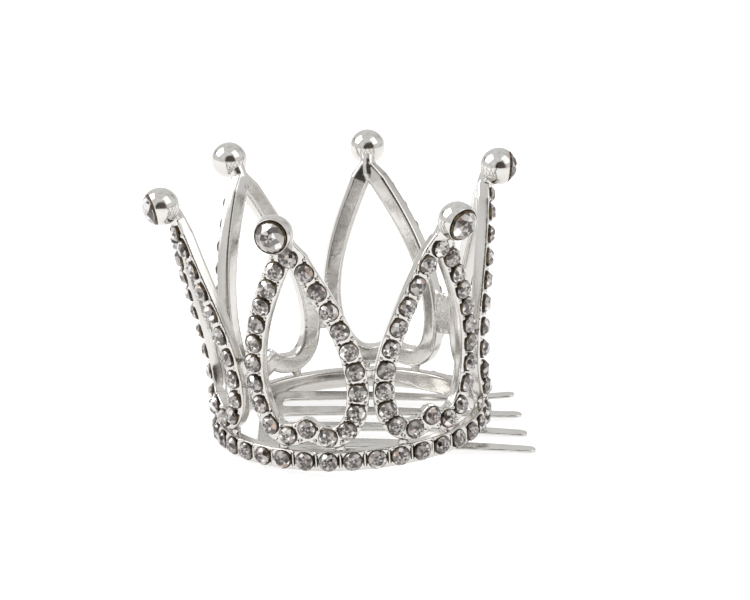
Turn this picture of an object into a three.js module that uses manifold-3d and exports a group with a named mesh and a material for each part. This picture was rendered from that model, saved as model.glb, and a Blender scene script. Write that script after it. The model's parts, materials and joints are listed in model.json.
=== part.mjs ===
// A small cast crown on a stamped hair comb, set with round crystals.
//
// The crown is a band with six lobes standing on it. Each lobe is a pointed loop of
// flat bar, like an upturned heart, with a ball cup on its tip. Every front face
// carries a row of small crystals, and each cup holds one large crystal. The comb's
// spine lies inside the band on the left, and its teeth pass under the band's right.
//
// The crown is built upright on its band, in millimetres: +Z up, azimuth 0 at the
// front (-Y) and growing towards +X. It is then leaned as it rests on a table, on the
// band's left edge and the tips of the comb, with the origin under its middle.

import * as THREE from "three";
import { mergeVertices } from "three/addons/utils/BufferGeometryUtils.js";
import Module from "manifold-3d";

const wasm = await Module();
wasm.setup();

// ---------------------------------------------------------------- driving dimensions

const gap = 0.3;                  // between metal pieces that solder joins
const seatGap = 0.12;             // under a crystal row and round a tip crystal

const bandRadius = 17.5;          // outer face of the band
const bandWall = 1.5;
const bandHeight = 2.6;
const bandStones = 36;
const bandSegments = 72;
const barSteps = 20;              // sections along each half of a lobe's bar
const bedSteps = 14;              // and along a crystal row's backing

const barWidth = 2.8;             // the bar's front face
const barBackWidth = 1.7;         // the narrower, rounded back
const barDepth = 1.5;
const leanStart = 6;              // height where the lobes begin to lean out
const leanPower = 1.1;            // makes that bend gentle
const nominalTip = 32.2;          // height of a ball's centre before hand setting
const lobeTop = 30.65;            // where the two flanks of a lobe meet
const lobeHalfWidth = 7.15;       // half the loop's width, to the bar's middle
const lobeWidest = 11.6;          // height of the widest place
const lobeLow = 4.5;              // lowest point of the bar's middle
const lobeLowAlong = 3.1;         // and how far that is from the lobe's axis
const cuspHeight = 5.6;           // the raised crystal between the two round ends
const topHandle = [3.15, -6.2];   // how the outline leaves its top,
const flankHandle = 6.8;          // arrives at its widest place from above,
const hipHandle = 3.6;            // leaves it downwards,
const heelHandle = 2.7;           // rounds its low corner
const toeHandle = 1.1;            // and rises
const cuspHandle = [1, -0.8];     // to the cusp
const barOverlap = 0.6;           // how far the two flanks run through each other at the cusp
const postAlong = 3.9;            // the two posts under each lobe
const postWidth = 1.2;
const postFront = -0.4;           // the posts stand back from the face
const stemWidth = 2;              // the stem behind each ball
const stemFoot = 28.6;
const stemTop = 31.9;
const stemFront = -0.25;
const skewStart = 3;              // heights over which a lobe's sideways tilt begins
const skewFull = 7;

const stoneRadius = 1.25;         // small crystals
const stoneTable = 0.75;
const stoneRise = 0.9;
const stoneSides = 6;
const stonesPerSide = 10;
const firstStone = 4.2;           // along the flank from its top to the first crystal
const lastStone = 3.0;            // along the bar from the last crystal to the cusp
const apexStone = 28.7;           // height of the crystal under the ball
const stoneSink = 0.1;            // how far a crystal sinks into its backing
const bedWidth = 2.6;             // the backing strip that joins a row of crystals
const bedThickness = 0.25;
const bedOverlap = 0.3;           // how far its two halves run through each other

const ballRadius = 2.44;
const ballSegments = 12;
const ballRings = 6;
const cupFlat = 1.05;             // the cup's mouth, beyond the ball's centre
const cupBore = 1.9;
const cupDepth = 1.75;
const cupFloor = 0.35;
const tipStoneRadius = 2.0;
const tipStoneTable = 1.15;
const tipStoneGirdle = 0.2;
const tipStoneCrown = 0.75;
const tipStonePavilion = 1.55;
const tipStoneLift = 0.1;         // its girdle over the cup's mouth, beyond the gap

const webThickness = 0.6;         // half the depth of the solder webs between two lobes
const webDepth = -0.55;           // their middle, from the lobes' faces
const beadSize = [0.62, 1.1, 0.5];  // half sizes of the beads on the comb's spine
const beadAzimuths = { front: -52, rear: -134 };

const toothRoot = 3.7;            // width at the spine
const toothTip = 1.9;             // width at the rounded end
const combThickness = 0.5;
const spineLeft = -12.2;
const spineRight = -9.2;
const combRise = 0.32;            // the comb's mid height over the crown's axis
const combSlope = -0.067;         // its slope there
const combBow = -0.00157;         // and its downward bow
const combBevel = 0.2;            // the eased upper edges
const combBevelDepth = 0.15;
const bendStart = 10;             // x beyond which a lifted tooth bends up
const toothSteps = 8;
const toothEndTurns = [30, 60, 80];  // degrees round the tooth's end

// The comb's teeth from the front: y, the x their tips reach, and how far hand bending
// has lifted each tip.
const teeth = [
  { y: -8, reach: 23.4, lift: 0.1 },
  { y: -1.5, reach: 22.8, lift: 0 },
  { y: 5, reach: 22.6, lift: 0.4 },
  { y: 11.5, reach: 22.1, lift: 1.1 },
];

// The lobes as they were set by hand. Angles are in degrees round the crown.
// azimuth: where the lobe stands; spread: its width beside the drawn one; shift: how far
// its tip is pushed round; skew: rise of the outline per mm along it; tipRadius and
// tipHeight: where its face ends up behind the ball; ballOut and ballAlong: the ball's
// centre from there; nod: how far its large crystal looks down; web: the middle and the
// half height of the solder web between this lobe and the next.
const lobes = [
  { name: "front_left", azimuth: -17.9, spread: 0.95, shift: 0.8, skew: -0.055,
    tipRadius: 21.5, tipHeight: 31.8, ballOut: 1.7, ballAlong: -0.8, nod: 0, web: [13.3, 0.65] },
  { name: "front_right", azimuth: 35.3, spread: 0.95, shift: 1.6, skew: 0.05,
    tipRadius: 20.9, tipHeight: 30.9, ballOut: 1.3, ballAlong: 1.3, nod: 17, web: [11.6, 2.2] },
  { name: "right", azimuth: 98, spread: 1, shift: -3.5, skew: 0,
    tipRadius: 19.4, tipHeight: 33.2, ballOut: 1.4, ballAlong: 0, nod: 7, web: [11.2, 2.8] },
  { name: "rear", azimuth: 160, spread: 1.05, shift: 9.1, skew: 0,
    tipRadius: 20.5, tipHeight: 32.45, ballOut: 1.4, ballAlong: 0, nod: 8, web: [11.2, 2.8] },
  { name: "rear_left", azimuth: 219, spread: 1, shift: 1.9, skew: 0,
    tipRadius: 20.7, tipHeight: 32.8, ballOut: 1.4, ballAlong: 0, nod: 8, web: [11.4, 2.5] },
  { name: "left", azimuth: 285, spread: 1, shift: 2, skew: 0,
    tipRadius: 21.7, tipHeight: 32.5, ballOut: 1.4, ballAlong: 0, nod: 11, web: [11.6, 2.2] },
];

// ---------------------------------------------------------------- materials

const metalLook = (name, color, roughness) =>
  new THREE.MeshStandardMaterial({ name, color, roughness, metalness: 1 });
const silver = metalLook("silver_plate", 0xdcdad6, 0.18);
const steel = metalLook("comb_steel", 0xc9c9c7, 0.24);
const solder = metalLook("solder", 0xe6e5e1, 0.32);
const crystal = new THREE.MeshStandardMaterial(
  { name: "crystal", color: 0xb9b4b2, roughness: 0.05, metalness: 0.1 });

// ---------------------------------------------------------------- solids

const radians = THREE.MathUtils.degToRad;

// A closed three.js geometry as a solid that can be joined and cut.
function toSolid(geometry) {
  const bare = geometry.clone();
  bare.deleteAttribute("normal");
  bare.deleteAttribute("uv");
  const merged = mergeVertices(bare, 1e-5);
  const index = Array.from(merged.index.array);
  const triangles = [];
  for (let i = 0; i < index.length; i += 3) {
    const [a, b, c] = index.slice(i, i + 3);
    if (a !== b && b !== c && a !== c) triangles.push(a, b, c);
  }
  return new wasm.Manifold(new wasm.Mesh({
    numProp: 3,
    vertProperties: new Float32Array(merged.attributes.position.array),
    triVerts: new Uint32Array(triangles),
  }));
}

const joined = (solids) => solids.reduce((all, next) => all.add(next));

// A named mesh from a solid.
function piece(name, solid, material) {
  const mesh = solid.getMesh();
  const geometry = new THREE.BufferGeometry();
  geometry.setAttribute("position", new THREE.BufferAttribute(mesh.vertProperties, 3));
  geometry.setIndex(new THREE.BufferAttribute(mesh.triVerts, 1));
  geometry.computeVertexNormals();
  const result = new THREE.Mesh(geometry, material);
  result.name = name;
  return result;
}

// A closed skin over a row of convex sections that all have the same point count.
function loft(sections) {
  const count = sections[0].length;
  const corners = [];
  const face = (...points) => points.forEach((p) => corners.push(p.x, p.y, p.z));
  for (let i = 0; i + 1 < sections.length; i++) {
    for (let j = 0; j < count; j++) {
      const k = (j + 1) % count;
      const [a, b, c, d] = [sections[i][j], sections[i][k], sections[i + 1][k], sections[i + 1][j]];
      face(a, b, c);
      face(a, c, d);
    }
  }
  const last = sections[sections.length - 1];
  for (let j = 1; j + 1 < count; j++) {
    face(sections[0][0], sections[0][j + 1], sections[0][j]);
    face(last[0], last[j], last[j + 1]);
  }
  const geometry = new THREE.BufferGeometry();
  geometry.setAttribute("position", new THREE.Float32BufferAttribute(corners, 3));
  return toSolid(geometry);
}

// A turned solid about +Z, from a profile of [radius, height] points.
function turned(profile, segments) {
  const points = profile.map(([x, y]) => new THREE.Vector2(x, y));
  return new THREE.LatheGeometry(points, segments).rotateX(Math.PI / 2);
}

// Moves a geometry made about +Z to a place, with its +Z along the given direction.
function aimed(geometry, place, direction) {
  const turn = new THREE.Quaternion().setFromUnitVectors(new THREE.Vector3(0, 0, 1), direction);
  return geometry.applyQuaternion(turn).translate(place.x, place.y, place.z);
}

// ---------------------------------------------------------------- the crown's wall

// A point of the crown's wall: azimuth in degrees, radius and height.
function polar(azimuth, radius, height) {
  const a = radians(azimuth);
  return new THREE.Vector3(radius * Math.sin(a), -radius * Math.cos(a), height);
}

// How far up the lean a height is: 0 at the foot of the lean, 1 at the ball.
const leanAt = (height) => Math.max(0, (height - leanStart) / (nominalTip - leanStart));

// A point on a lobe's front face, `along` mm to the right of the lobe's axis at a
// height, and `depth` mm out from the face.
function onLobe(lobe, along, height, depth = 0) {
  const lean = leanAt(height);
  const radius = bandRadius + (lobe.tipRadius - bandRadius) * lean ** leanPower;
  const azimuth = lobe.azimuth + lobe.shift * lean + THREE.MathUtils.radToDeg(along / radius);
  const skewed = THREE.MathUtils.clamp((height - skewStart) / (skewFull - skewStart), 0, 1);
  const rise = (lobe.tipHeight - nominalTip) * lean + lobe.skew * along * skewed;
  return polar(azimuth, radius + depth, height + rise);
}

// The outward direction of a lobe's face.
function faceDirection(lobe, along, height) {
  const step = 0.05;
  const across = onLobe(lobe, along + step, height).sub(onLobe(lobe, along - step, height));
  const up = onLobe(lobe, along, height + step).sub(onLobe(lobe, along, height - step));
  return across.cross(up).normalize();
}

// The right half of a lobe's outline, in [along, height], from its top to its cusp.
function halfOutline() {
  const path = new THREE.CurvePath();
  const curve = (...p) => path.add(new THREE.CubicBezierCurve(...p.map(([x, y]) => new THREE.Vector2(x, y))));
  const widest = [lobeHalfWidth, lobeWidest];
  const lowest = [lobeLowAlong, lobeLow];
  const leaving = [topHandle[0], lobeTop + topHandle[1]];
  const arriving = [cuspHandle[0], cuspHeight + cuspHandle[1]];
  curve([0, lobeTop], leaving, [lobeHalfWidth, lobeWidest + flankHandle], widest);
  curve(widest, [lobeHalfWidth, lobeWidest - hipHandle], [lobeLowAlong + heelHandle, lobeLow], lowest);
  curve(lowest, [lobeLowAlong - toeHandle, lobeLow], arriving, [0, cuspHeight]);
  return path;
}
const outline = halfOutline();
const outlineLength = outline.getLength();

// A strip swept along the outline's right (+1) or left (-1) half, between two
// distances from its top, from a section of [across, depth] points.
function sweptStrip(lobe, side, section, from, to, steps) {
  const sections = [];
  for (let i = 0; i <= steps; i++) {
    const distance = from + ((to - from) * i) / steps;
    const inside = THREE.MathUtils.clamp(distance / outlineLength, 0, 1);
    const tangent = outline.getTangent(inside);
    const beyond = distance - inside * outlineLength;
    const middle = outline.getPoint(inside).addScaledVector(tangent, beyond);
    const points = section.map(([across, depth]) => onLobe(
      lobe,
      side * (middle.x * lobe.spread - tangent.y * across),
      middle.y + tangent.x * across,
      depth,
    ));
    sections.push(side > 0 ? points : points.reverse());
  }
  return loft(sections);
}

// ---------------------------------------------------------------- pieces

function band() {
  const inner = bandRadius - bandWall;
  const profile = [[inner, 0], [bandRadius, 0], [bandRadius, bandHeight], [inner, bandHeight], [inner, 0]];
  return piece("base_band", toSolid(turned(profile, bandSegments)), silver);
}

function lobeFrame(lobe) {
  const front = barWidth / 2;
  const back = barBackWidth / 2;
  const bar = [[-front, 0], [-back, -barDepth], [back, -barDepth], [front, 0]];
  const sides = [1, -1];
  const bars = sides.map((side) => sweptStrip(lobe, side, bar, 0, outlineLength + barOverlap, barSteps));
  const upright = (middle, width, foot, top, near) => loft([foot, top].map((height) => [
    [-width / 2, near], [width / 2, near], [width / 2, -barDepth], [-width / 2, -barDepth],
  ].map(([across, depth]) => onLobe(lobe, middle + across, height, depth))));
  const posts = sides.map(
    (side) => upright(side * postAlong, postWidth, bandHeight + gap, lobeLow, postFront));
  const stem = upright(0, stemWidth, stemFoot, stemTop, stemFront);
  const ballRoom = new THREE.SphereGeometry(ballRadius + seatGap, 16, 12);
  const ball = ballPlace(lobe);
  ballRoom.translate(ball.x, ball.y, ball.z);
  const frame = joined([...bars, ...posts, stem]).subtract(toSolid(ballRoom));
  return piece(`lobe_${lobe.name}`, frame, silver);
}

const ballPlace = (lobe) => onLobe(lobe, lobe.ballAlong, nominalTip, lobe.ballOut);

function ballDirection(lobe) {
  const azimuth = radians(lobe.azimuth + lobe.shift);
  const nod = radians(lobe.nod);
  return new THREE.Vector3(
    Math.sin(azimuth) * Math.cos(nod), -Math.cos(azimuth) * Math.cos(nod), -Math.sin(nod));
}

function ballCup(lobe) {
  const profile = [];
  const mouth = Math.asin(cupFlat / ballRadius);
  for (let i = 0; i <= ballRings; i++) {
    const angle = -Math.PI / 2 + ((mouth + Math.PI / 2) * i) / ballRings;
    profile.push([i ? ballRadius * Math.cos(angle) : 0, ballRadius * Math.sin(angle)]);
  }
  profile.push([cupBore, cupFlat], [cupFloor, cupFlat - cupDepth], [0, cupFlat - cupDepth]);
  const cup = aimed(turned(profile, ballSegments), ballPlace(lobe), ballDirection(lobe));
  return piece(`ball_cup_${lobe.name}`, toSolid(cup), silver);
}

function tipStone(lobe) {
  const girdle = cupFlat + seatGap + tipStoneLift;
  const profile = [
    [0, girdle - tipStonePavilion],
    [tipStoneRadius, girdle],
    [tipStoneRadius, girdle + tipStoneGirdle],
    [tipStoneTable, girdle + tipStoneGirdle + tipStoneCrown],
    [0, girdle + tipStoneGirdle + tipStoneCrown],
  ];
  const stone = aimed(turned(profile, ballSegments), ballPlace(lobe), ballDirection(lobe));
  return piece(`tip_stone_${lobe.name}`, toSolid(stone), crystal);
}

// One small crystal standing on a place of a face.
function smallStone(place, direction) {
  const shape = new THREE.CylinderGeometry(stoneTable, stoneRadius, stoneRise, stoneSides);
  shape.rotateX(Math.PI / 2).translate(0, 0, seatGap + bedThickness - stoneSink + stoneRise / 2);
  return toSolid(aimed(shape, place, direction));
}

// Where a lobe's crystals stand, in [along, height]: apex, cusp, both flanks.
function lobeStonePlaces(lobe) {
  const places = [[0, apexStone], [0, cuspHeight]];
  const pitch = (outlineLength - firstStone - lastStone) / (stonesPerSide - 1);
  for (let i = 0; i < stonesPerSide; i++) {
    const { x, y } = outline.getPoint((firstStone + pitch * i) / outlineLength);
    places.push([x * lobe.spread, y], [-x * lobe.spread, y]);
  }
  return places;
}

function lobeStoneRow(lobe) {
  const bed = [[-1, 0], [-1, 1], [1, 1], [1, 0]].map(
    ([across, out]) => [(across * bedWidth) / 2, seatGap + out * bedThickness]).reverse();
  const beds = [1, -1].map(
    (side) => sweptStrip(lobe, side, bed, firstStone / 2, outlineLength + bedOverlap, bedSteps));
  const stones = lobeStonePlaces(lobe).map(
    ([along, height]) => smallStone(onLobe(lobe, along, height), faceDirection(lobe, along, height)));
  return piece(`stone_row_${lobe.name}`, joined([...beds, ...stones]), crystal);
}

function bandStoneRow() {
  const middle = bandHeight / 2;
  const halfStep = 180 / bandStones;
  const inner = (bandRadius + seatGap) / Math.cos(radians(halfStep));
  const outer = inner + bedThickness;
  const low = middle - bedWidth / 2;
  const high = middle + bedWidth / 2;
  const profile = [[inner, low], [outer, low], [outer, high], [inner, high], [inner, low]];
  const bed = turned(profile, bandStones).rotateZ(radians(halfStep));
  const stones = [];
  for (let i = 0; i < bandStones; i++) {
    const azimuth = (i * 360) / bandStones;
    stones.push(smallStone(polar(azimuth, bandRadius, middle), polar(azimuth, 1, 0)));
  }
  return piece("stone_row_band", joined([toSolid(bed), ...stones]), crystal);
}

// The web of solder that ties two neighbouring lobes together at their shoulders.
function shoulderSolder(lobe, next) {
  const [webMiddle, webHalf] = lobe.web;
  const shoulder = (one, side) => onLobe(
    one, side * (lobeHalfWidth * one.spread + barWidth / 2), webMiddle, webDepth);
  const [from, to] = [shoulder(lobe, 1), shoulder(next, -1)];
  const across = to.clone().sub(from);
  const web = new THREE.SphereGeometry(1, 10, 8);
  web.rotateX(Math.PI / 2).scale(across.length() / 2 - seatGap, webThickness, webHalf);
  web.rotateZ(Math.atan2(across.y, across.x));
  const place = from.add(to).divideScalar(2);
  web.translate(place.x, place.y, place.z);
  return piece(`shoulder_solder_${lobe.name}`, toSolid(web), solder);
}

const combHeight = (x) => combRise + combSlope * x + combBow * x * x;

// A flat strip of comb stock: a row of [x, low y, high y, lift], bowed with the comb.
// Its upper edges are rounded off.
function combStrip(stations) {
  const half = combThickness / 2;
  return loft(stations.map(([x, low, high, lift]) => {
    const bevel = Math.min(combBevel, (high - low) / 4);
    const section = [
      [low, -half], [high, -half], [high, half - combBevelDepth],
      [high - bevel, half], [low + bevel, half], [low, half - combBevelDepth],
    ];
    return section.map(([y, z]) => new THREE.Vector3(x, y, combHeight(x) + lift + z));
  }));
}

function tooth({ y, reach, lift }) {
  const stations = [];
  const roundEnd = reach - toothTip / 2;
  const start = spineRight - gap;
  const liftAt = (x) => lift * Math.max(0, (x - bendStart) / (reach - bendStart)) ** 2;
  for (let i = 0; i <= toothSteps; i++) {
    const x = start + ((roundEnd - start) * i) / toothSteps;
    const half = (toothRoot + ((toothTip - toothRoot) * i) / toothSteps) / 2;
    stations.push([x, y - half, y + half, liftAt(x)]);
  }
  for (const turn of toothEndTurns) {
    const half = (toothTip / 2) * Math.cos(radians(turn));
    const x = roundEnd + (toothTip / 2) * Math.sin(radians(turn));
    stations.push([x, y - half, y + half, liftAt(x)]);
  }
  return combStrip(stations);
}

function comb() {
  const low = teeth[0].y - toothRoot / 2;
  const high = teeth[teeth.length - 1].y + toothRoot / 2;
  const spine = [spineLeft, (spineLeft + spineRight) / 2, spineRight].map((x) => [x, low, high, 0]);
  const room = bandRadius - bandWall - gap;
  const insideBand = toSolid(new THREE.CylinderGeometry(room, room, bandRadius, bandSegments)
    .rotateX(Math.PI / 2));
  const rightOfAxis = toSolid(new THREE.BoxGeometry(4 * room, 4 * room, bandRadius)
    .translate(2 * room, 0, 0));
  const whole = joined([combStrip(spine), ...teeth.map(tooth)]).intersect(insideBand.add(rightOfAxis));
  return piece("comb", whole, steel);
}

// A bead of solder on the comb's spine, against the inside of the band.
function combSolder(name, azimuth) {
  const bead = new THREE.SphereGeometry(1, 8, 6).scale(...beadSize);
  const place = polar(azimuth, bandRadius - bandWall - seatGap - beadSize[0], 0);
  place.z = combHeight(place.x) + combThickness / 2 + seatGap + beadSize[2];
  bead.rotateZ(radians(azimuth - 90)).translate(place.x, place.y, place.z);
  return piece(name, toSolid(bead), solder);
}

// ---------------------------------------------------------------- assembly

const crown = new THREE.Group();
crown.add(band(), bandStoneRow());
lobes.forEach((lobe, i) => {
  const next = lobes[(i + 1) % lobes.length];
  crown.add(lobeFrame(lobe), lobeStoneRow(lobe), ballCup(lobe), tipStone(lobe), shoulderSolder(lobe, next));
});
crown.add(comb());
for (const [place, azimuth] of Object.entries(beadAzimuths)) {
  crown.add(combSolder(`comb_solder_${place}`, azimuth));
}

// At rest the crown leans on the band's left edge and the undersides of the tips.
const leans = teeth.map(({ reach, lift }) => Math.atan2(
  combThickness / 2 - combHeight(reach) - lift, reach + bandRadius));
const restLean = Math.max(...leans);
crown.rotation.y = -restLean;

const part = new THREE.Group();
part.add(crown);
part.updateMatrixWorld(true);
const box = new THREE.Box3().setFromObject(part, true);
const middle = box.getCenter(new THREE.Vector3());
crown.position.set(-middle.x, -middle.y, -box.min.z);
part.updateMatrixWorld(true);

export default part;
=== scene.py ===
"""Looks for the miniature crown hair comb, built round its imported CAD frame.

Shapes are worked out in millimetres in the crown's own upright frame (band level,
axis up) and then placed in the part's frame, in which the crown leans on its comb.
"""

import json
import math
import random

import bmesh
import bpy
import numpy as np
from mathutils import Matrix, Vector


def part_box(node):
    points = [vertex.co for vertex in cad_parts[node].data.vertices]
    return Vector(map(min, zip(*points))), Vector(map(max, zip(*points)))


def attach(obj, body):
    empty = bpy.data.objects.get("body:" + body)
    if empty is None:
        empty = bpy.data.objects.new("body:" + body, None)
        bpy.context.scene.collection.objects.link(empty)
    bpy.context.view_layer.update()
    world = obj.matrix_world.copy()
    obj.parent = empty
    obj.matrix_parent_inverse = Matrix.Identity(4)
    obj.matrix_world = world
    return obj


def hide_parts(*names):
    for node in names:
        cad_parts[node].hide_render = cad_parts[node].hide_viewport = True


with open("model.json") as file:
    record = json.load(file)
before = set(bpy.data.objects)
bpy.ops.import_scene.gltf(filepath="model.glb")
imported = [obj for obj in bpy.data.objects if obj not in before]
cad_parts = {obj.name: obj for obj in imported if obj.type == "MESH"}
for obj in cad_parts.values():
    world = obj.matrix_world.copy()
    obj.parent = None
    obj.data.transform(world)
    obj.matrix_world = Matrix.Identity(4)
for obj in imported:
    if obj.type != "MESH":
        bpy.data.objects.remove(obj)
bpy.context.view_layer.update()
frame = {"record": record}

# ------------------------------------------------------------------ sizes, mm

BAND_RADIUS = 17.5
BAND_WALL = 1.5
BAND_HEIGHT = 2.6
BAND_EDGE = 0.22             # how far its inner edges are rounded
BAND_SEGMENTS = 240
BAND_STONES = 36
# The metal between two band crystals: height over the band's underside, and how proud.
DIVIDER_ROWS = [(0.12, 0.12), (0.5, 0.26), (BAND_HEIGHT - 0.5, 0.26), (BAND_HEIGHT - 0.12, 0.12)]
DIVIDER_FOOT = (0.55, -0.3)  # half its width in degrees, and its depth, at the back
DIVIDER_TOP = 0.38           # half its width in degrees at the front

BAR_HALF_WIDTH = 1.4
BAR_DEPTH = 1.5
BAR_CHAMFER = 0.12           # at its front corners
BAR_DRAFT = (0.04, -0.5)     # how far the side draws in, and at what depth
BAR_BACK_INSET = 0.14
BAR_BACK_ROUND = 0.42
BAR_BACK_STEPS = 8
BAR_START = 0.35             # from the outline's top
BAR_PAST_END = 0.6           # past the outline's foot, into the other half
BAR_STEPS = 90
TAPER_LENGTH = 2.6           # over which the bar grows to its full section
TIP_WIDTH_SHARE = 0.5
TIP_DEPTH_SHARE = 0.84

LEAN_START = 6
LEAN_POWER = 1.1
SKEW_START = 3
SKEW_RANGE = 4
NOMINAL_TIP = 32.2
LOBE_TOP = 30.65
LOBE_HALF_WIDTH = 7.15
LOBE_WIDEST = 11.6
LOBE_LOW = 4.5
LOBE_LOW_ALONG = 3.1
CUSP_HEIGHT = 5.6

# The right half of a lobe's middle line, from its top to the cusp at its foot: three
# Bezier curves of (along, height), each cut into steps.
OUTLINE_CURVES = [
    ((0, LOBE_TOP), (3.15, LOBE_TOP - 6.2), (LOBE_HALF_WIDTH, LOBE_WIDEST + 6.8),
     (LOBE_HALF_WIDTH, LOBE_WIDEST)),
    ((LOBE_HALF_WIDTH, LOBE_WIDEST), (LOBE_HALF_WIDTH, LOBE_WIDEST - 3.6),
     (LOBE_LOW_ALONG + 2.7, LOBE_LOW), (LOBE_LOW_ALONG, LOBE_LOW)),
    ((LOBE_LOW_ALONG, LOBE_LOW), (LOBE_LOW_ALONG - 1.1, LOBE_LOW), (1, CUSP_HEIGHT - 0.8),
     (0, CUSP_HEIGHT)),
]
OUTLINE_STEPS = 120

# A lobe's two posts on the band: their rows of height and widening, and half their width
# and depth before it.
POST_ALONG = 3.9
POST_ROWS = [(BAND_HEIGHT - 0.25, 1.6), (BAND_HEIGHT + 0.1, 1.2), (3.3, 1.05), (LOBE_LOW, 1.6)]
POST_SECTION = (0.62, 0.55)
POST_DEPTH = -0.9            # from the lobe's face

# The neck under a ball: where it starts and bends (along, height, depth), and its rows of
# place on the way to the ball, half width and half thickness.
NECK_FOOT = (0, 28.2, -0.85)
NECK_BEND = (0, 30.4, -0.8)
NECK_FACES = 30              # the height whose sideways direction it takes
NECK_ROWS = [
    (0, 1.2, 0.6), (0.2, 1.1, 0.74), (0.4, 1.0, 0.98), (0.55, 1.1, 1.16), (0.7, 1.25, 1.36),
    (0.85, 1.3, 1.4),
]

STONE_RADIUS = 1.25
STONES_PER_SIDE = 10
FACE_RISE = 0.14             # how far the metal stands up round the crystals
FIRST_STONE = 4.2            # down the outline from its top
LAST_STONE = 3.0             # short of the outline's foot
APEX_STONE = 28.7            # the height of the crystal where the bars meet
GRAIN_RADIUS = 0.24
GRAIN_ASIDE = 0.95           # from the bar's middle line
GRAIN_LIFT = 0.2             # from its face

BALL_RADIUS = 2.4            # a little under the CAD ball's, whose corners are faceted
BALL_STEPS = 26
BALL_SEGMENTS = 56
CUP_FLAT = 1.05              # where the ball is cut, from its centre
LIP_ROWS = [(0.02, 0.04), (0.06, 0.06), (0.1, 0.03), (0.13, -0.1)]   # inset, rise
SEAT_ROWS = [(1.6, 0.6), (0.9, 1.0), (0.3, 1.2)]                     # radius, depth
TIP_STONE_RADIUS = 2.0

TOOTH_ROOT = 3.7
TOOTH_TIP = 1.9
TOOTH_STEPS = 60
TOOTH_TURNS = (20, 40, 60, 75, 85)   # degrees round a tooth's end
TOOTH_FILLET = (0.9, 1.6)    # widening at the root, and its length
TOOTH_OVERLAP = 0.6
COMB_THICKNESS = 0.5
COMB_CLEARANCE = 0.05        # from the band's inner wall
SPINE_LEFT = -12.2
SPINE_RIGHT = -9.2
SPINE_STEPS = 14
SPINE_CORNER = (0.35, 0.3)   # how far its corners draw in, and over what length
COMB_RISE = 0.32
COMB_SLOPE = -0.067
COMB_BOW = -0.00157
COMB_EDGE_POWER = 0.35       # below 1 the section is squarer than an ellipse
COMB_FACE_POWER = 0.6
BEND_START = 10

WEB_DEPTH = -0.55            # from the lobes' faces
WEB_BACK = 0.15
WEB_RIPPLE = 0.06
# How far a web is sunk into the bars, how much taller its ends are, and half its thickness.
WEB = (1.0, 0.7, 0.62)
SMALL_WEB = (0.5, 0.35, 0.5)

BEAD_SIZES = (1.2, 0.5, 0.75)
BEAD_LUMPS = 4
BEAD_OFF_WALL = 0.5
BEAD_OVER_COMB = 0.25
BEAD_VOXEL = 0.1

VOXEL = 0.13
SAME_POINT = 1e-5

# The lobes as set by hand: name, azimuth, spread, shift of the tip (degrees), skew,
# the tip's radius and height, the ball's centre out from there and along, how far its
# crystal looks down (degrees), and the web of solder to the next lobe: its middle height
# and half its height.
LOBES = [
    ("front_left", -17.9, 0.95, 0.8, -0.055, 21.5, 31.8, 1.7, -0.8, 0, (13.3, 0.65)),
    ("front_right", 35.3, 0.95, 1.6, 0.05, 20.9, 30.9, 1.3, 1.3, 17, (11.6, 2.2)),
    ("right", 98, 1, -3.5, 0, 19.4, 33.2, 1.4, 0, 7, (11.2, 2.8)),
    ("rear", 160, 1.05, 9.1, 0, 20.5, 32.45, 1.4, 0, 8, (11.2, 2.8)),
    ("rear_left", 219, 1, 1.9, 0, 20.7, 32.8, 1.4, 0, 8, (11.4, 2.5)),
    ("left", 285, 1, 2, 0, 21.7, 32.5, 1.4, 0, 11, (11.6, 2.2)),
]

# The comb's teeth from the front: y, the x of the tip, and how far the tip is lifted.
TEETH = [(-8, 23.4, 0.1), (-1.5, 22.8, 0), (5, 22.6, 0.4), (11.5, 22.1, 1.1)]

# Where the comb is soldered to the band: name and azimuth.
COMB_BEADS = [("front", -52), ("rear", -134)]

# ------------------------------------------------------------------ looks

# Cuts of crystal: heights of the wall's foot, the girdle and the table over the place,
# how much darker than usual the facets are painted (the band's, as painted shade for their dimmer
# reflections), and the glass' share of the radius.
LOBE_CUT = {"foot": 0.05, "girdle": 0.4, "table": 0.98}
BAND_CUT = {"foot": 0.05, "girdle": 0.24, "table": 0.78, "dark": 0.08}
TIP_CUT = {"foot": CUP_FLAT - 0.4, "girdle": CUP_FLAT + 0.36, "table": CUP_FLAT + 1.1, "rim": 0.9}

GLASS_SHARE = 0.92
STAR_SHARE = 0.3             # radii of the rings of corners, as shares of the glass'
TABLE_SHARE = 0.58
KITE_SHARE = 0.82
KITE_RISE = 0.6              # of the way from girdle to table
TABLE_DOME = (0.02, 0.012)   # the middle's and the star ring's rise over the table
GIRDLE_RISE = 0.08
FOIL_DROP = 0.1
HAND_TILT = 0.05
# How much darker the middle, star and table facets are drawn: painted reflections of the dark foil
# they face.
MIDDLE_PAINTED_DARK, STAR_PAINTED_DARK, TABLE_PAINTED_DARK = 0.28, 0.22, 0.12

# Painted reflections on the crystals' facets: dark and brownish rows for the foil they reflect,
# grey for the rest, white as painted sparkle. A facet takes the first row whose number its draw is
# over: value, and tint.
PAINTED_FACET_REFLECTIONS = [
    (0.98, (0.01, 0.06), (1.0, 0.84, 0.76)),
    (0.62, (0.06, 0.19), (1.0, 0.89, 0.84)),
    (0.6, (0.35, 0.6), (1.0, 0.72, 0.6)),
    (0.16, (0.29, 0.58), (1.0, 0.94, 0.9)),
    (-1.0, (0.8, 1.0), (1.0, 0.99, 0.97)),
]

# Sizes of the metal's noise, in cycles a metre, and the height of its ripples in metres.
PATCH_SCALE = 200
POLISH_SCALE = 900
RIPPLE_HEIGHT = 0.0004

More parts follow.
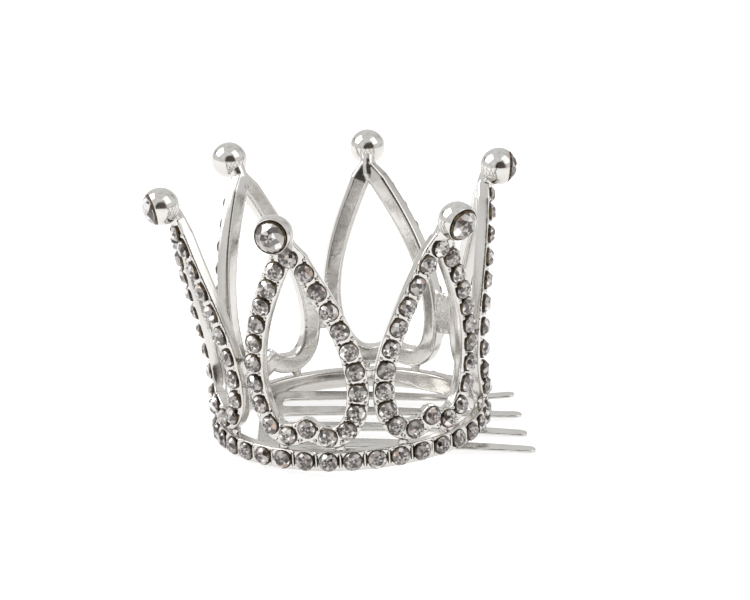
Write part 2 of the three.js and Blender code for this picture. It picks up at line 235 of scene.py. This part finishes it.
CAMERA_AZIMUTH = -0.96       # degrees from the front, positive towards +X
CAMERA_ELEVATION = 15.83
CAMERA_DISTANCE = 0.307
CAMERA_LENS = 114.1          # mm
CAMERA_SENSOR = 36
CAMERA_CLIP = (0.01, 20)
CAMERA_AIM = Vector((2.97, -0.05, 17.08))   # mm from the band's centre, in the part's axes

LIGHT_AIM = (0, 0, 0.018)
# Area lights in metres and watts: name, place, size and power.
LIGHTS = [
    ("key", (-0.45, 0.03, 0.42), (0.42, 0.42), 1.7),
    ("fill", (0.42, -0.22, 0.5), (0.5, 0.5), 0.7),
]
FLOOR_HALF = 3.0
FLOOR_GLOW = 0.64
TENT_FOLDS = 2.4             # the size of the tent's folds, as a noise scale
TENT_OPENING = (0.15, -1.0, 0.14)    # which way the room behind the camera shows
OPENING_TONE = (0.12, 0.1, 0.084)

SEED = 7

# ------------------------------------------------------------------ the crown's frame


def crown_matrix():
    """Takes crown millimetres to the part's metres: the band's underside gives the lean,
    and the band's box gives its centre."""
    mounts = {m["name"]: m for m in frame["record"]["mounts"]}
    up = -Vector(mounts["band_underside"]["axis"]).normalized()
    right = Vector((0, 1, 0)).cross(up).normalized()
    forward = up.cross(right)
    low, high = (Vector(c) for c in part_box("base_band"))
    centre = (low + high) / 2 - up * BAND_HEIGHT / 2000
    turn = Matrix((right, forward, up)).transposed().to_4x4()
    return Matrix.Translation(centre) @ turn @ Matrix.Scale(0.001, 4)


CROWN = crown_matrix()


def polar(azimuth, radius, height):
    a = math.radians(azimuth)
    return np.array([radius * math.sin(a), -radius * math.cos(a), height])


def outward_basis(azimuth):
    """Right, up and outward directions at a place round the band."""
    out = polar(azimuth, 1, 0)
    return np.array([-out[1], out[0], 0.0]), np.array([0.0, 0.0, 1.0]), out


def round_angles(count):
    return np.linspace(0, 2 * math.pi, count, False)


def signed_power(value, power):
    return math.copysign(abs(value) ** power, value)


def lean_at(height):
    return max(0.0, (height - LEAN_START) / (NOMINAL_TIP - LEAN_START))


class Lobe:
    """One lobe: its place round the crown and how it was set by hand."""

    def __init__(self, name, azimuth, spread, shift, skew, radius, height, out, along, nod, web):
        self.name = name
        self.azimuth = azimuth
        self.spread = spread
        self.shift = shift
        self.skew = skew
        self.tip_radius = radius
        self.tip_height = height
        self.ball_place = (along, NOMINAL_TIP, out)
        self.nod = math.radians(nod)
        self.web = web

    def at(self, along, height, depth=0.0):
        lean = lean_at(height)
        radius = BAND_RADIUS + (self.tip_radius - BAND_RADIUS) * lean ** LEAN_POWER
        azimuth = self.azimuth + self.shift * lean + math.degrees(along / radius)
        skewed = min(max((height - SKEW_START) / SKEW_RANGE, 0), 1)
        rise = (self.tip_height - NOMINAL_TIP) * lean + self.skew * along * skewed
        return polar(azimuth, radius + depth, height + rise)

    def basis(self, along, height):
        """Right, up and outward directions of the face."""
        step = 0.05
        right = self.at(along + step, height) - self.at(along - step, height)
        up = self.at(along, height + step) - self.at(along, height - step)
        right /= np.linalg.norm(right)
        out = np.cross(right, up)
        out /= np.linalg.norm(out)
        return right, np.cross(out, right), out

    def ball(self):
        return self.at(*self.ball_place)

    def ball_basis(self):
        a = math.radians(self.azimuth + self.shift)
        out = np.array([
            math.sin(a) * math.cos(self.nod),
            -math.cos(a) * math.cos(self.nod),
            -math.sin(self.nod),
        ])
        right = np.array([math.cos(a), math.sin(a), 0.0])
        return right, np.cross(out, right), out


def bezier(points, t):
    p0, p1, p2, p3 = (np.array(p, float) for p in points)
    s = 1 - t
    return s ** 3 * p0 + 3 * s * s * t * p1 + 3 * s * t * t * p2 + t ** 3 * p3


def trace_outline():
    """Points down the right half of a lobe's middle line, and their distances."""
    points = [bezier(c, i / OUTLINE_STEPS) for c in OUTLINE_CURVES for i in range(OUTLINE_STEPS)]
    points.append(bezier(OUTLINE_CURVES[-1], 1))
    points = np.array(points)
    lengths = np.linalg.norm(np.diff(points, axis=0), axis=1)
    return points, np.concatenate([[0], np.cumsum(lengths)])


OUTLINE, OUTLINE_AT = trace_outline()
OUTLINE_LENGTH = OUTLINE_AT[-1]
STONE_PITCH = (OUTLINE_LENGTH - FIRST_STONE - LAST_STONE) / (STONES_PER_SIDE - 1)


def outline_point(distance):
    """Place and direction on the outline, going straight on past its ends."""
    inside = min(max(distance, 0.0), OUTLINE_LENGTH)
    place = np.array([np.interp(inside, OUTLINE_AT, OUTLINE[:, k]) for k in (0, 1)])
    step = 0.1
    low, high = max(inside - step, 0.0), min(inside + step, OUTLINE_LENGTH)
    direction = np.array([
        np.interp(high, OUTLINE_AT, OUTLINE[:, k]) - np.interp(low, OUTLINE_AT, OUTLINE[:, k])
        for k in (0, 1)
    ])
    direction /= np.linalg.norm(direction)
    return place + direction * (distance - inside), direction


def stone_places(lobe):
    """Where a lobe's crystals stand: (along, height)."""
    places = [(0, APEX_STONE), (0, CUSP_HEIGHT)]
    for i in range(STONES_PER_SIDE):
        x, y = outline_point(FIRST_STONE + STONE_PITCH * i)[0]
        places += [(x * lobe.spread, y), (-x * lobe.spread, y)]
    return places


# ------------------------------------------------------------------ mesh tools


class Shells:
    """Collects closed shells in crown millimetres."""

    def __init__(self):
        self.points, self.faces, self.slots, self.reflection_colours = [], [], [], []

    def add(self, points, faces, slots=None, reflection_colours=None):
        start = len(self.points)
        self.points += [tuple(p) for p in points]
        self.faces += [tuple(start + i for i in f) for f in faces]
        self.slots += slots or [0] * len(faces)
        # A colour a face: the crystals' painted reflections, white where unused.
        self.reflection_colours += reflection_colours or [(1, 1, 1)] * len(faces)

    def loft(self, sections, closed=False):
        """A skin over sections with the same number of points: capped at both ends, or
        closed back on its first section."""
        count = len(sections[0])
        rows = len(sections)
        faces = []
        for i in range(rows if closed else rows - 1):
            n = (i + 1) % rows
            for j in range(count):
                k = (j + 1) % count
                faces.append((i * count + j, i * count + k, n * count + k, n * count + j))
        if not closed:
            faces.append(tuple(reversed(range(count))))
            faces.append(tuple(range((rows - 1) * count, rows * count)))
        self.add([p for section in sections for p in section], faces)

    def lathe(self, profile, segments, place, basis, closed=False):
        """Turns a profile of (radius, height) about a basis' third direction."""
        right, up, out = basis
        turns = [2 * math.pi * s / segments for s in range(segments)]
        self.loft([
            [
                place + out * height + (right * math.cos(t) + up * math.sin(t)) * radius
                for t in turns
            ]
            for radius, height in profile
        ], closed)

    def mesh(self, name):
        data = bpy.data.meshes.new(name)
        data.from_pydata(self.points, [], self.faces)
        data.polygons.foreach_set("material_index", self.slots)
        data.update()
        return data


def fix_normals(obj):
    """Joins points that meet, and turns every face outwards."""
    work = bmesh.new()
    work.from_mesh(obj.data)
    bmesh.ops.remove_doubles(work, verts=work.verts, dist=SAME_POINT)
    bmesh.ops.recalc_face_normals(work, faces=work.faces)
    work.to_mesh(obj.data)
    work.free()


def place_piece(name, data, materials, smooth=True):
    """A finished mesh, moved from crown millimetres into the part's frame."""
    data.transform(CROWN)
    obj = bpy.data.objects.new(name, data)
    bpy.context.scene.collection.objects.link(obj)
    for material in materials:
        data.materials.append(material)
    data.polygons.foreach_set("use_smooth", [smooth] * len(data.polygons))
    data.update()
    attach(obj, "root")
    return obj


def cast(name, shells, material, voxel=VOXEL, smoothing=4):
    """Fuses overlapping shells into one skin with soft edges, as a casting has."""
    rough = bpy.data.objects.new(name + "_rough", shells.mesh(name + "_rough"))
    bpy.context.scene.collection.objects.link(rough)
    fix_normals(rough)
    remesh = rough.modifiers.new("fuse", "REMESH")
    remesh.mode = "VOXEL"
    remesh.voxel_size = voxel
    soften = rough.modifiers.new("soften", "SMOOTH")
    soften.factor = 0.5
    soften.iterations = smoothing
    bpy.context.view_layer.update()
    graph = bpy.context.evaluated_depsgraph_get()
    data = bpy.data.meshes.new_from_object(rough.evaluated_get(graph))
    data.name = name
    bpy.data.objects.remove(rough)
    data.materials.clear()
    return place_piece(name, data, [material])


# ------------------------------------------------------------------ materials


def new_material(name):
    material = bpy.data.materials.new(name)
    material.use_nodes = True
    nodes = material.node_tree.nodes
    return material, nodes, material.node_tree.links, nodes["Principled BSDF"]


def noise(nodes, links, scale, detail=4.0, stretch=None):
    """Noise in the part's own metres, so that it has one scale on every piece."""
    coords = nodes.new("ShaderNodeTexCoord")
    texture = nodes.new("ShaderNodeTexNoise")
    texture.inputs["Scale"].default_value = scale
    texture.inputs["Detail"].default_value = detail
    source = coords.outputs["Object"]
    if stretch:
        mapping = nodes.new("ShaderNodeMapping")
        mapping.inputs["Scale"].default_value = stretch
        links.new(source, mapping.inputs["Vector"])
        source = mapping.outputs["Vector"]
    links.new(source, texture.inputs["Vector"])
    return texture.outputs["Fac"]


def ramp(nodes, links, source, stops):
    node = nodes.new("ShaderNodeValToRGB")
    elements = node.color_ramp.elements
    while len(elements) < len(stops):
        elements.new(0.5)
    for element, (position, colour) in zip(elements, stops):
        element.position = position
        element.color = (*colour, 1)
    links.new(source, node.inputs["Fac"])
    return node.outputs["Color"]


def multiply(nodes, links, first, second):
    mix = nodes.new("ShaderNodeMix")
    mix.data_type = "RGBA"
    mix.blend_type = "MULTIPLY"
    mix.inputs["Factor"].default_value = 1.0
    links.new(first, mix.inputs["A"])
    links.new(second, mix.inputs["B"])
    return mix.outputs["Result"]


def bump(nodes, links, source, shader, strength, distance):
    node = nodes.new("ShaderNodeBump")
    node.inputs["Strength"].default_value = strength
    node.inputs["Distance"].default_value = distance
    links.new(source, node.inputs["Height"])
    links.new(node.outputs["Normal"], shader.inputs["Normal"])


def grey(value):
    return (value, value, value)


def metal(name, light, dark, rough, ripple, ripple_scale, stretch=None):
    """Plated metal: patches of faint tarnish, uneven polish and fine ripples."""
    smooth, dull = rough
    material, nodes, links, shader = new_material(name)
    shader.inputs["Metallic"].default_value = 1.0
    patches = noise(nodes, links, PATCH_SCALE, 3)
    tarnish = ramp(nodes, links, patches, [(0.3, dark), (0.62, light)])
    links.new(tarnish, shader.inputs["Base Color"])
    polish = noise(nodes, links, POLISH_SCALE, 6)
    wear = ramp(nodes, links, polish, [(0.3, grey(smooth)), (0.75, grey(dull))])
    links.new(wear, shader.inputs["Roughness"])
    ripples = noise(nodes, links, ripple_scale, 3, stretch)
    bump(nodes, links, ripples, shader, ripple, RIPPLE_HEIGHT)
    return material


def crystal_material():
    """Foil-backed glass with painted reflections: each facet's colour is painted with what it would
    reflect of the foil and the facets behind it, the white ones as painted sparkle.
    """
    material, nodes, links, shader = new_material("crystal")
    tone = nodes.new("ShaderNodeAttribute")
    tone.attribute_name = "tone"
    specks = noise(nodes, links, 1500, 2)
    cloud = ramp(nodes, links, specks, [(0.25, grey(0.82)), (0.7, grey(1.0))])
    colour = multiply(nodes, links, tone.outputs["Color"], cloud)
    links.new(colour, shader.inputs["Base Color"])
    shader.inputs["Metallic"].default_value = 0.45
    shader.inputs["Roughness"].default_value = 0.06
    shader.inputs["IOR"].default_value = 1.6
    shader.inputs["Coat Weight"].default_value = 0.6
    shader.inputs["Coat Roughness"].default_value = 0.02
    return material


def foil_material():
    """The dark brass foil on a crystal's back, seen round its edge."""
    material, nodes, links, shader = new_material("crystal_foil")
    shader.inputs["Metallic"].default_value = 0.7
    flecks = noise(nodes, links, 1800, 4)
    brass = ramp(nodes, links, flecks, [(0.4, (0.014, 0.01, 0.008)), (0.75, (0.2, 0.14, 0.075))])
    links.new(brass, shader.inputs["Base Color"])
    rough = ramp(nodes, links, flecks, [(0.3, grey(0.3)), (0.8, grey(0.5))])
    links.new(rough, shader.inputs["Roughness"])
    return material


SILVER = metal(
    "silver_plate", light=(0.65, 0.635, 0.61), dark=(0.59, 0.573, 0.547), rough=(0.1, 0.19),
    ripple=0.06, ripple_scale=650)
STEEL = metal(
    "comb_steel", light=(0.66, 0.65, 0.628), dark=(0.58, 0.567, 0.545), rough=(0.12, 0.24),
    ripple=0.1, ripple_scale=700, stretch=(1, 9, 9))
SOLDER = metal(
    "solder", light=(0.68, 0.666, 0.645), dark=(0.58, 0.562, 0.535), rough=(0.12, 0.27),
    ripple=0.4, ripple_scale=1700)
CRYSTAL = crystal_material()
FOIL = foil_material()

# ------------------------------------------------------------------ crystals


def draw_painted_reflection(dice, dark):
    """A facet's colour, a painted reflection: mostly grey, some dark or brownish, a few white or
    warm; the white ones are painted sparkle.
    """
    pick = dice.random() + dark
    values, tint = next((row[1], row[2]) for row in PAINTED_FACET_REFLECTIONS if pick > row[0])
    value = dice.uniform(*values)
    return tuple(value * t for t in tint)


def add_crystal(
        shells, place, basis, radius, dice, foot, girdle, table, dark=0.0, rim=GLASS_SHARE):
    """A round chaton: an eight-sided table, star, kite and girdle facets, and under them
    a dark foiled wall that shows all round. Every face draws a painted reflection colour, the
    foil's too, white facets as painted sparkle; dark draws them all darker, as painted shade."""
    right, up, out = basis
    turn = dice.uniform(0, math.pi / 4)
    tilt = [dice.uniform(-HAND_TILT, HAND_TILT) for _ in range(2)]

    def ring(count, r, z, offset=0.0):
        row = []
        for i in range(count):
            t = turn + 2 * math.pi * (i + offset) / count
            x, y = r * math.cos(t), r * math.sin(t)
            row.append(place + right * x + up * y + out * (z + tilt[0] * x + tilt[1] * y))
        return row

    glass = radius * rim
    kite_height = girdle + KITE_RISE * (table - girdle)
    rings = [
        ring(1, 0.0, table + TABLE_DOME[0]),
        ring(8, STAR_SHARE * glass, table + TABLE_DOME[1], 0.5),
        ring(8, TABLE_SHARE * glass, table),
        ring(8, KITE_SHARE * glass, kite_height, 0.5),
        ring(16, glass, girdle + GIRDLE_RISE),
        ring(16, glass, girdle),
        ring(16, radius, girdle - FOIL_DROP),
        ring(16, radius, foot),
    ]
    c, s, t, m, g, e, u, b = (sum(map(len, rings[:i])) for i in range(len(rings)))
    faces, slots, reflection_colours = [], [], []

    def face(indices, slot=0, darker=0.0):
        faces.append(indices)
        slots.append(slot)
        reflection_colours.append(draw_painted_reflection(dice, dark + darker))

    # The middle, star and table facets draw darker: painted reflections of the dark foil behind
    # them.
    for i in range(8):
        n = (i + 1) % 8
        h = (i - 1) % 8
        face((c, s + i, s + n), darker=MIDDLE_PAINTED_DARK)
        face((s + h, t + i, s + i), darker=STAR_PAINTED_DARK)
        face((s + i, t + i, t + n), darker=TABLE_PAINTED_DARK)
        face((t + i, m + i, t + n))
        face((t + i, m + h, g + 2 * i, m + i))
        face((m + i, g + 2 * i, g + 2 * i + 1))
        face((m + i, g + 2 * i + 1, g + (2 * i + 2) % 16))
    for i in range(16):
        n = (i + 1) % 16
        face((g + i, e + i, e + n, g + n))
        face((e + i, u + i, u + n, e + n), 1)
        face((u + i, b + i, b + n, u + n), 1)
    face(tuple(reversed(range(b, b + 16))), 1)
    shells.add([p for row in rings for p in row], faces, slots, reflection_colours)


def crystal_piece(name, shells, *nodes):
    data = shells.mesh(name)
    # Each face's painted reflection colour, kept as a corner colour.
    attribute = data.attributes.new("tone", "FLOAT_COLOR", "CORNER")
    colours = []
    for polygon, tone in zip(data.polygons, shells.reflection_colours):
        colours += [*tone, 1.0] * polygon.loop_total
    attribute.data.foreach_set("color", colours)
    obj = place_piece(name, data, [CRYSTAL, FOIL], smooth=False)
    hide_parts(*nodes)


def lobe_crystals(lobe, dice):
    shells = Shells()
    for along, height in stone_places(lobe):
        place, basis = lobe.at(along, height), lobe.basis(along, height)
        add_crystal(shells, place, basis, STONE_RADIUS, dice, **LOBE_CUT)
    crystal_piece("crystals_" + lobe.name, shells, "stone_row_" + lobe.name)


def band_crystals(dice):
    shells = Shells()
    for i in range(BAND_STONES):
        azimuth = 360 * i / BAND_STONES
        place = polar(azimuth, BAND_RADIUS, BAND_HEIGHT / 2)
        # The band's crystals draw darker facets: painted shade for their dimmer reflections.
        add_crystal(shells, place, outward_basis(azimuth), STONE_RADIUS, dice, **BAND_CUT)
    crystal_piece("crystals_band", shells, "stone_row_band")


def tip_crystal(lobe, dice):
    shells = Shells()
    add_crystal(shells, lobe.ball(), lobe.ball_basis(), TIP_STONE_RADIUS, dice, **TIP_CUT)
    crystal_piece("tip_crystal_" + lobe.name, shells, "tip_stone_" + lobe.name)


# ------------------------------------------------------------------ metal pieces


def rounded_bar():
    """The bar's section, (across, depth): flat front and sides, and eased back corners."""
    centre = BAR_HALF_WIDTH - BAR_BACK_INSET - BAR_BACK_ROUND
    draw_in, at_depth = BAR_DRAFT
    half = [
        (BAR_HALF_WIDTH - BAR_CHAMFER, FACE_RISE), (BAR_HALF_WIDTH, 0.0),
        (BAR_HALF_WIDTH - draw_in, at_depth),
    ]
    for i in range(BAR_BACK_STEPS + 1):
        t = math.pi / 2 * i / BAR_BACK_STEPS
        half.append((
            centre + BAR_BACK_ROUND * math.cos(t),
            -BAR_DEPTH + BAR_BACK_ROUND - BAR_BACK_ROUND * math.sin(t)))
    return half + [(-x, y) for x, y in reversed(half)]


def bar_sections(lobe, side):
    """Sections down one half of the loop, narrower and thinner near the tip."""
    section = rounded_bar()
    end = OUTLINE_LENGTH + BAR_PAST_END
    sections = []
    for i in range(BAR_STEPS + 1):
        distance = BAR_START + (end - BAR_START) * i / BAR_STEPS
        (x, y), (dx, dy) = outline_point(distance)
        x *= lobe.spread
        grown = min(1.0, distance / TAPER_LENGTH)
        narrow = TIP_WIDTH_SHARE + (1 - TIP_WIDTH_SHARE) * grown
        thin = TIP_DEPTH_SHARE + (1 - TIP_DEPTH_SHARE) * grown
        sections.append([
            lobe.at(side * (x - dy * a * narrow), y + dx * a * narrow, d * thin)
            for a, d in section
        ])
    return sections


def post_sections(lobe, side):
    wide, deep = POST_SECTION
    ring = [(wide * math.cos(t), POST_DEPTH + deep * math.sin(t)) for t in round_angles(16)]
    return [
        [lobe.at(side * POST_ALONG + a * widen, height, d) for a, d in ring]
        for height, widen in POST_ROWS
    ]


def grains(lobe, shells):
    """Beads of metal between neighbouring crystals, which hold them."""
    profile = [
        (GRAIN_RADIUS * math.cos(t), GRAIN_RADIUS * math.sin(t))
        for t in np.linspace(-1.5, 1.5, 9)
    ]
    for side in (1, -1):
        for i in range(STONES_PER_SIDE + 1):
            (x, y), (dx, dy) = outline_point(FIRST_STONE + STONE_PITCH * (i - 0.5))
            x *= lobe.spread
            for a in (-GRAIN_ASIDE, GRAIN_ASIDE):
                along, height = side * (x - dy * a), y + dx * a
                place = lobe.at(along, height, GRAIN_LIFT)
                shells.lathe(profile, 12, place, lobe.basis(along, height))


def neck_sections(lobe):
    """From the top of the bars up into the ball, swelling to meet it."""
    foot, bend, ball = lobe.at(*NECK_FOOT), lobe.at(*NECK_BEND), lobe.ball()
    right = lobe.basis(0, NECK_FACES)[0]
    rows = []
    for t, wide, thick in NECK_ROWS:
        middle = (1 - t) ** 2 * foot + 2 * t * (1 - t) * bend + t * t * ball
        run = (1 - t) * (bend - foot) + t * (ball - bend)
        out = np.cross(right, run)
        out /= np.linalg.norm(out)
        rows.append([
            middle + right * wide * math.cos(a) + out * thick * math.sin(a)
            for a in round_angles(24)
        ])
    return rows


def lobe_frame(lobe):
    shells = Shells()
    for side in (1, -1):
        shells.loft(bar_sections(lobe, side))
        shells.loft(post_sections(lobe, side))
    grains(lobe, shells)
    shells.loft(neck_sections(lobe))
    obj = cast("frame_" + lobe.name, shells, SILVER)
    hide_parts("lobe_" + lobe.name)


def ball_cup(lobe):
    """A ball with its front cut flat, a bored seat and a soft rolled lip."""
    mouth = math.asin(CUP_FLAT / BALL_RADIUS)
    rim = BALL_RADIUS * math.cos(mouth)
    profile = []
    for i in range(1, BALL_STEPS + 1):
        a = -math.pi / 2 + (mouth + math.pi / 2) * i / BALL_STEPS
        profile.append((BALL_RADIUS * math.cos(a), BALL_RADIUS * math.sin(a)))
    profile += [(rim - inset, CUP_FLAT + rise) for inset, rise in LIP_ROWS]
    profile += [(radius, CUP_FLAT - depth) for radius, depth in SEAT_ROWS]
    shells = Shells()
    shells.lathe(profile, BALL_SEGMENTS, lobe.ball(), lobe.ball_basis())
    obj = place_piece("ball_" + lobe.name, shells.mesh("ball_" + lobe.name), [SILVER])
    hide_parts("ball_cup_" + lobe.name)


def band():
    """The ring, and the narrow ribs between its crystals."""
    shells = Shells()
    inner, edge, top = BAND_RADIUS - BAND_WALL, BAND_EDGE, BAND_HEIGHT
    profile = [
        (inner + edge, 0), (BAND_RADIUS - edge / 2, 0),
        (BAND_RADIUS, edge / 2), (BAND_RADIUS, top - edge / 2),
        (BAND_RADIUS - edge / 2, top), (inner + edge, top),
        (inner + edge / 3, top - edge / 3), (inner, top - edge),
        (inner, top / 2), (inner, edge), (inner + edge / 3, edge / 3),
    ]
    upright = (np.array([1.0, 0, 0]), np.array([0, 1.0, 0]), np.array([0, 0, 1.0]))
    shells.lathe(profile, BAND_SEGMENTS, np.zeros(3), upright, closed=True)
    wide, foot = DIVIDER_FOOT
    for i in range(BAND_STONES):
        azimuth = 360 * (i + 0.5) / BAND_STONES
        shells.loft([
            [
                polar(azimuth + turn, BAND_RADIUS + depth, height)
                for turn, depth in (
                    (-wide, foot), (wide, foot), (DIVIDER_TOP, out), (-DIVIDER_TOP, out))
            ]
            for height, out in DIVIDER_ROWS
        ])
    obj = cast("band", shells, SILVER)
    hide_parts("base_band")


def comb_height(x):
    return COMB_RISE + COMB_SLOPE * x + COMB_BOW * x * x


def flat_section(x, low, high, lift):
    """A strip of comb stock across y, with rounded edges."""
    half = COMB_THICKNESS / 2
    middle, reach = (low + high) / 2, (high - low) / 2
    points = []
    for i in range(24):
        t = 2 * math.pi * i / 24
        y = middle + reach * signed_power(math.cos(t), COMB_EDGE_POWER)
        z = half * signed_power(math.sin(t), COMB_FACE_POWER)
        points.append(np.array([x, y, comb_height(x) + lift + z]))
    return points


def spine_sections(limit):
    """The spine across the left of the band, kept inside its wall."""
    corner, over = SPINE_CORNER
    rows = []
    for x in np.linspace(SPINE_LEFT, SPINE_RIGHT, SPINE_STEPS):
        reach = math.sqrt(limit ** 2 - x ** 2)
        inset = corner * max(0, 1 - (x - SPINE_LEFT) / over)
        inset += corner * max(0, 1 - (SPINE_RIGHT - x) / over)
        low = max(TEETH[0][0] - TOOTH_ROOT / 2, -reach) + inset
        high = min(TEETH[-1][0] + TOOTH_ROOT / 2, reach) - inset
        rows.append(flat_section(x, low, high, 0))
    return rows


def tooth_sections(y, tip, lift, limit):
    """A tapered tooth with a rounded end, bent up towards its tip."""
    start = SPINE_RIGHT - TOOTH_OVERLAP
    end = tip - TOOTH_TIP / 2
    widening, over = TOOTH_FILLET
    rows = []
    for x in np.linspace(start, end, TOOTH_STEPS):
        half = (TOOTH_TIP + (TOOTH_ROOT - TOOTH_TIP) * (1 - (x - start) / (end - start))) / 2
        half += widening * max(0, 1 - (x - start) / over) ** 2
        reach = math.sqrt(max(limit ** 2 - x ** 2, 0)) if x < 0 else math.inf
        rise = lift * max(0, (x - BEND_START) / (tip - BEND_START)) ** 2
        rows.append(flat_section(x, max(y - half, -reach), min(y + half, reach), rise))
    for turn in TOOTH_TURNS:
        half = TOOTH_TIP / 2 * math.cos(math.radians(turn))
        x = end + TOOTH_TIP / 2 * math.sin(math.radians(turn))
        rise = lift * ((x - BEND_START) / (tip - BEND_START)) ** 2
        rows.append(flat_section(x, y - half, y + half, rise))
    return rows


def comb():
    shells = Shells()
    limit = BAND_RADIUS - BAND_WALL - COMB_CLEARANCE
    shells.loft(spine_sections(limit))
    for y, tip, lift in TEETH:
        shells.loft(tooth_sections(y, tip, lift, limit))
    obj = cast("comb_plate", shells, STEEL, smoothing=2)
    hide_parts("comb")


def shoulder_solder(lobe, following, dice):
    """The web between two lobes, sunk into both bars. At the front it is only a small
    drop high on the shoulders."""
    height, half = lobe.web
    inset, flare, depth = SMALL_WEB if half < 1 else WEB
    start, end = (
        one.at(side * (LOBE_HALF_WIDTH * one.spread + BAR_HALF_WIDTH - inset), height, WEB_DEPTH)
        for one, side in ((lobe, 1), (following, -1)))
    across = end - start
    up = lobe.basis(LOBE_HALF_WIDTH, height)[1] + following.basis(-LOBE_HALF_WIDTH, height)[1]
    up /= np.linalg.norm(up)
    out = np.cross(across, up)
    out /= np.linalg.norm(out)
    middle = (start + end) / 2
    rows = []
    phase = dice.uniform(0, math.pi)
    for u in np.linspace(-1, 1, 21):
        ripple = WEB_RIPPLE * math.sin(4 * u + phase)
        tall = half + flare * u ** 4 + ripple
        thick = depth * (0.8 + 0.2 * u * u) + ripple / 2
        centre = middle + across * u / 2 - out * WEB_BACK
        rows.append([
            centre + up * tall * math.sin(t) + out * thick * math.cos(t) for t in round_angles(32)
        ])
    shells = Shells()
    shells.loft(rows)
    obj = cast("solder_" + lobe.name, shells, SOLDER, smoothing=4)
    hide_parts("shoulder_solder_" + lobe.name)


def comb_solder(name, azimuth, dice):
    """A lumpy bead of solder between the comb and the band."""
    place = polar(azimuth, BAND_RADIUS - BAND_WALL - BEAD_OFF_WALL, 0)
    place[2] = comb_height(place[0]) + COMB_THICKNESS / 2 + BEAD_OVER_COMB
    basis = outward_basis(azimuth)
    lumps = [(np.zeros(3), 1.0)]
    for _ in range(BEAD_LUMPS):
        offset = np.array([dice.uniform(-0.5, 0.5) for _ in range(3)])
        lumps.append((offset, dice.uniform(0.5, 0.75)))
    pole = math.pi / 2 - 0.05
    profile = [(math.cos(t), math.sin(t)) for t in np.linspace(-pole, pole, 14)]
    shells = Shells()
    for offset, grow in lumps:
        middle = place + sum(d * o * s for d, o, s in zip(basis, offset, BEAD_SIZES))
        axes = tuple(d * size * grow for d, size in zip(basis, BEAD_SIZES))
        shells.lathe(profile, 22, middle, axes)
    obj = cast("bead_" + name, shells, SOLDER, voxel=BEAD_VOXEL, smoothing=5)
    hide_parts("comb_solder_" + name)


# ------------------------------------------------------------------ scene


def area_light(name, place, size, power):
    data = bpy.data.lights.new(name, "AREA")
    data.shape = "RECTANGLE"
    data.size, data.size_y = size
    data.energy = power
    obj = bpy.data.objects.new(name, data)
    obj.location = place
    towards = Vector(LIGHT_AIM) - Vector(place)
    obj.rotation_euler = towards.to_track_quat("-Z", "Y").to_euler()
    bpy.context.scene.collection.objects.link(obj)


def tent():
    """A white tent round the table: unevenly lit, and dim where the camera looks in."""
    world = bpy.data.worlds.new("tent")
    world.use_nodes = True
    nodes, links = world.node_tree.nodes, world.node_tree.links
    direction = nodes.new("ShaderNodeTexCoord").outputs["Generated"]
    folds = nodes.new("ShaderNodeTexNoise")
    folds.inputs["Scale"].default_value = TENT_FOLDS
    folds.inputs["Detail"].default_value = 2.0
    links.new(direction, folds.inputs["Vector"])
    cloth = ramp(nodes, links, folds.outputs["Fac"], [
        (0.34, (0.12, 0.105, 0.095)), (0.38, (0.68, 0.67, 0.66)), (0.52, grey(0.88)),
        (0.7, grey(0.98))])
    facing = nodes.new("ShaderNodeVectorMath")
    facing.operation = "DOT_PRODUCT"
    facing.inputs[1].default_value = Vector(TENT_OPENING).normalized()
    links.new(direction, facing.inputs[0])
    opening = ramp(
        nodes, links, facing.outputs["Value"], [(0.81, grey(1.0)), (0.85, OPENING_TONE)])
    colour = multiply(nodes, links, cloth, opening)
    links.new(colour, nodes["Background"].inputs["Color"])
    return world


def floor_material():
    """Bright pale paper, which glows a little so that it stays plain."""
    material, nodes, links, shader = new_material("floor_paper")
    grain = noise(nodes, links, 60, 3)
    paper = ramp(nodes, links, grain, [(0.3, grey(0.64)), (0.7, grey(0.67))])
    links.new(paper, shader.inputs["Base Color"])
    shader.inputs["Roughness"].default_value = 0.9
    shader.inputs["Specular IOR Level"].default_value = 0.2
    shader.inputs["Emission Color"].default_value = (1, 1, 1, 1)
    shader.inputs["Emission Strength"].default_value = FLOOR_GLOW
    return material


def studio():
    data = bpy.data.meshes.new("floor")
    corners = [(x * FLOOR_HALF, y * FLOOR_HALF, 0) for x, y in ((-1, -1), (1, -1), (1, 1), (-1, 1))]
    data.from_pydata(corners, [], [(0, 1, 2, 3)])
    data.materials.append(floor_material())
    floor = bpy.data.objects.new("floor", data)
    bpy.context.scene.collection.objects.link(floor)
    bpy.context.scene.world = tent()
    for row in LIGHTS:
        area_light(*row)
    bpy.context.scene.view_settings.view_transform = "Standard"


def camera():
    azimuth, elevation = math.radians(CAMERA_AZIMUTH), math.radians(CAMERA_ELEVATION)
    aim = CROWN.translation + CAMERA_AIM / 1000
    back = Vector((
        math.cos(elevation) * math.sin(azimuth),
        -math.cos(elevation) * math.cos(azimuth),
        math.sin(elevation),
    ))
    data = bpy.data.cameras.new("camera")
    data.lens = CAMERA_LENS
    data.sensor_width = CAMERA_SENSOR
    data.clip_start, data.clip_end = CAMERA_CLIP
    obj = bpy.data.objects.new("camera", data)
    obj.location = aim + back * CAMERA_DISTANCE
    obj.rotation_euler = (-back).to_track_quat("-Z", "Y").to_euler()
    bpy.context.scene.collection.objects.link(obj)
    bpy.context.scene.camera = obj


camera()
studio()
lobes = [Lobe(*row) for row in LOBES]
dice = random.Random(SEED)
band()
band_crystals(dice)
for i, lobe in enumerate(lobes):
    lobe_frame(lobe)
    lobe_crystals(lobe, dice)
    ball_cup(lobe)
    tip_crystal(lobe, dice)
    shoulder_solder(lobe, lobes[(i + 1) % len(lobes)], dice)
comb()
for name, azimuth in COMB_BEADS:
    comb_solder(name, azimuth, dice)
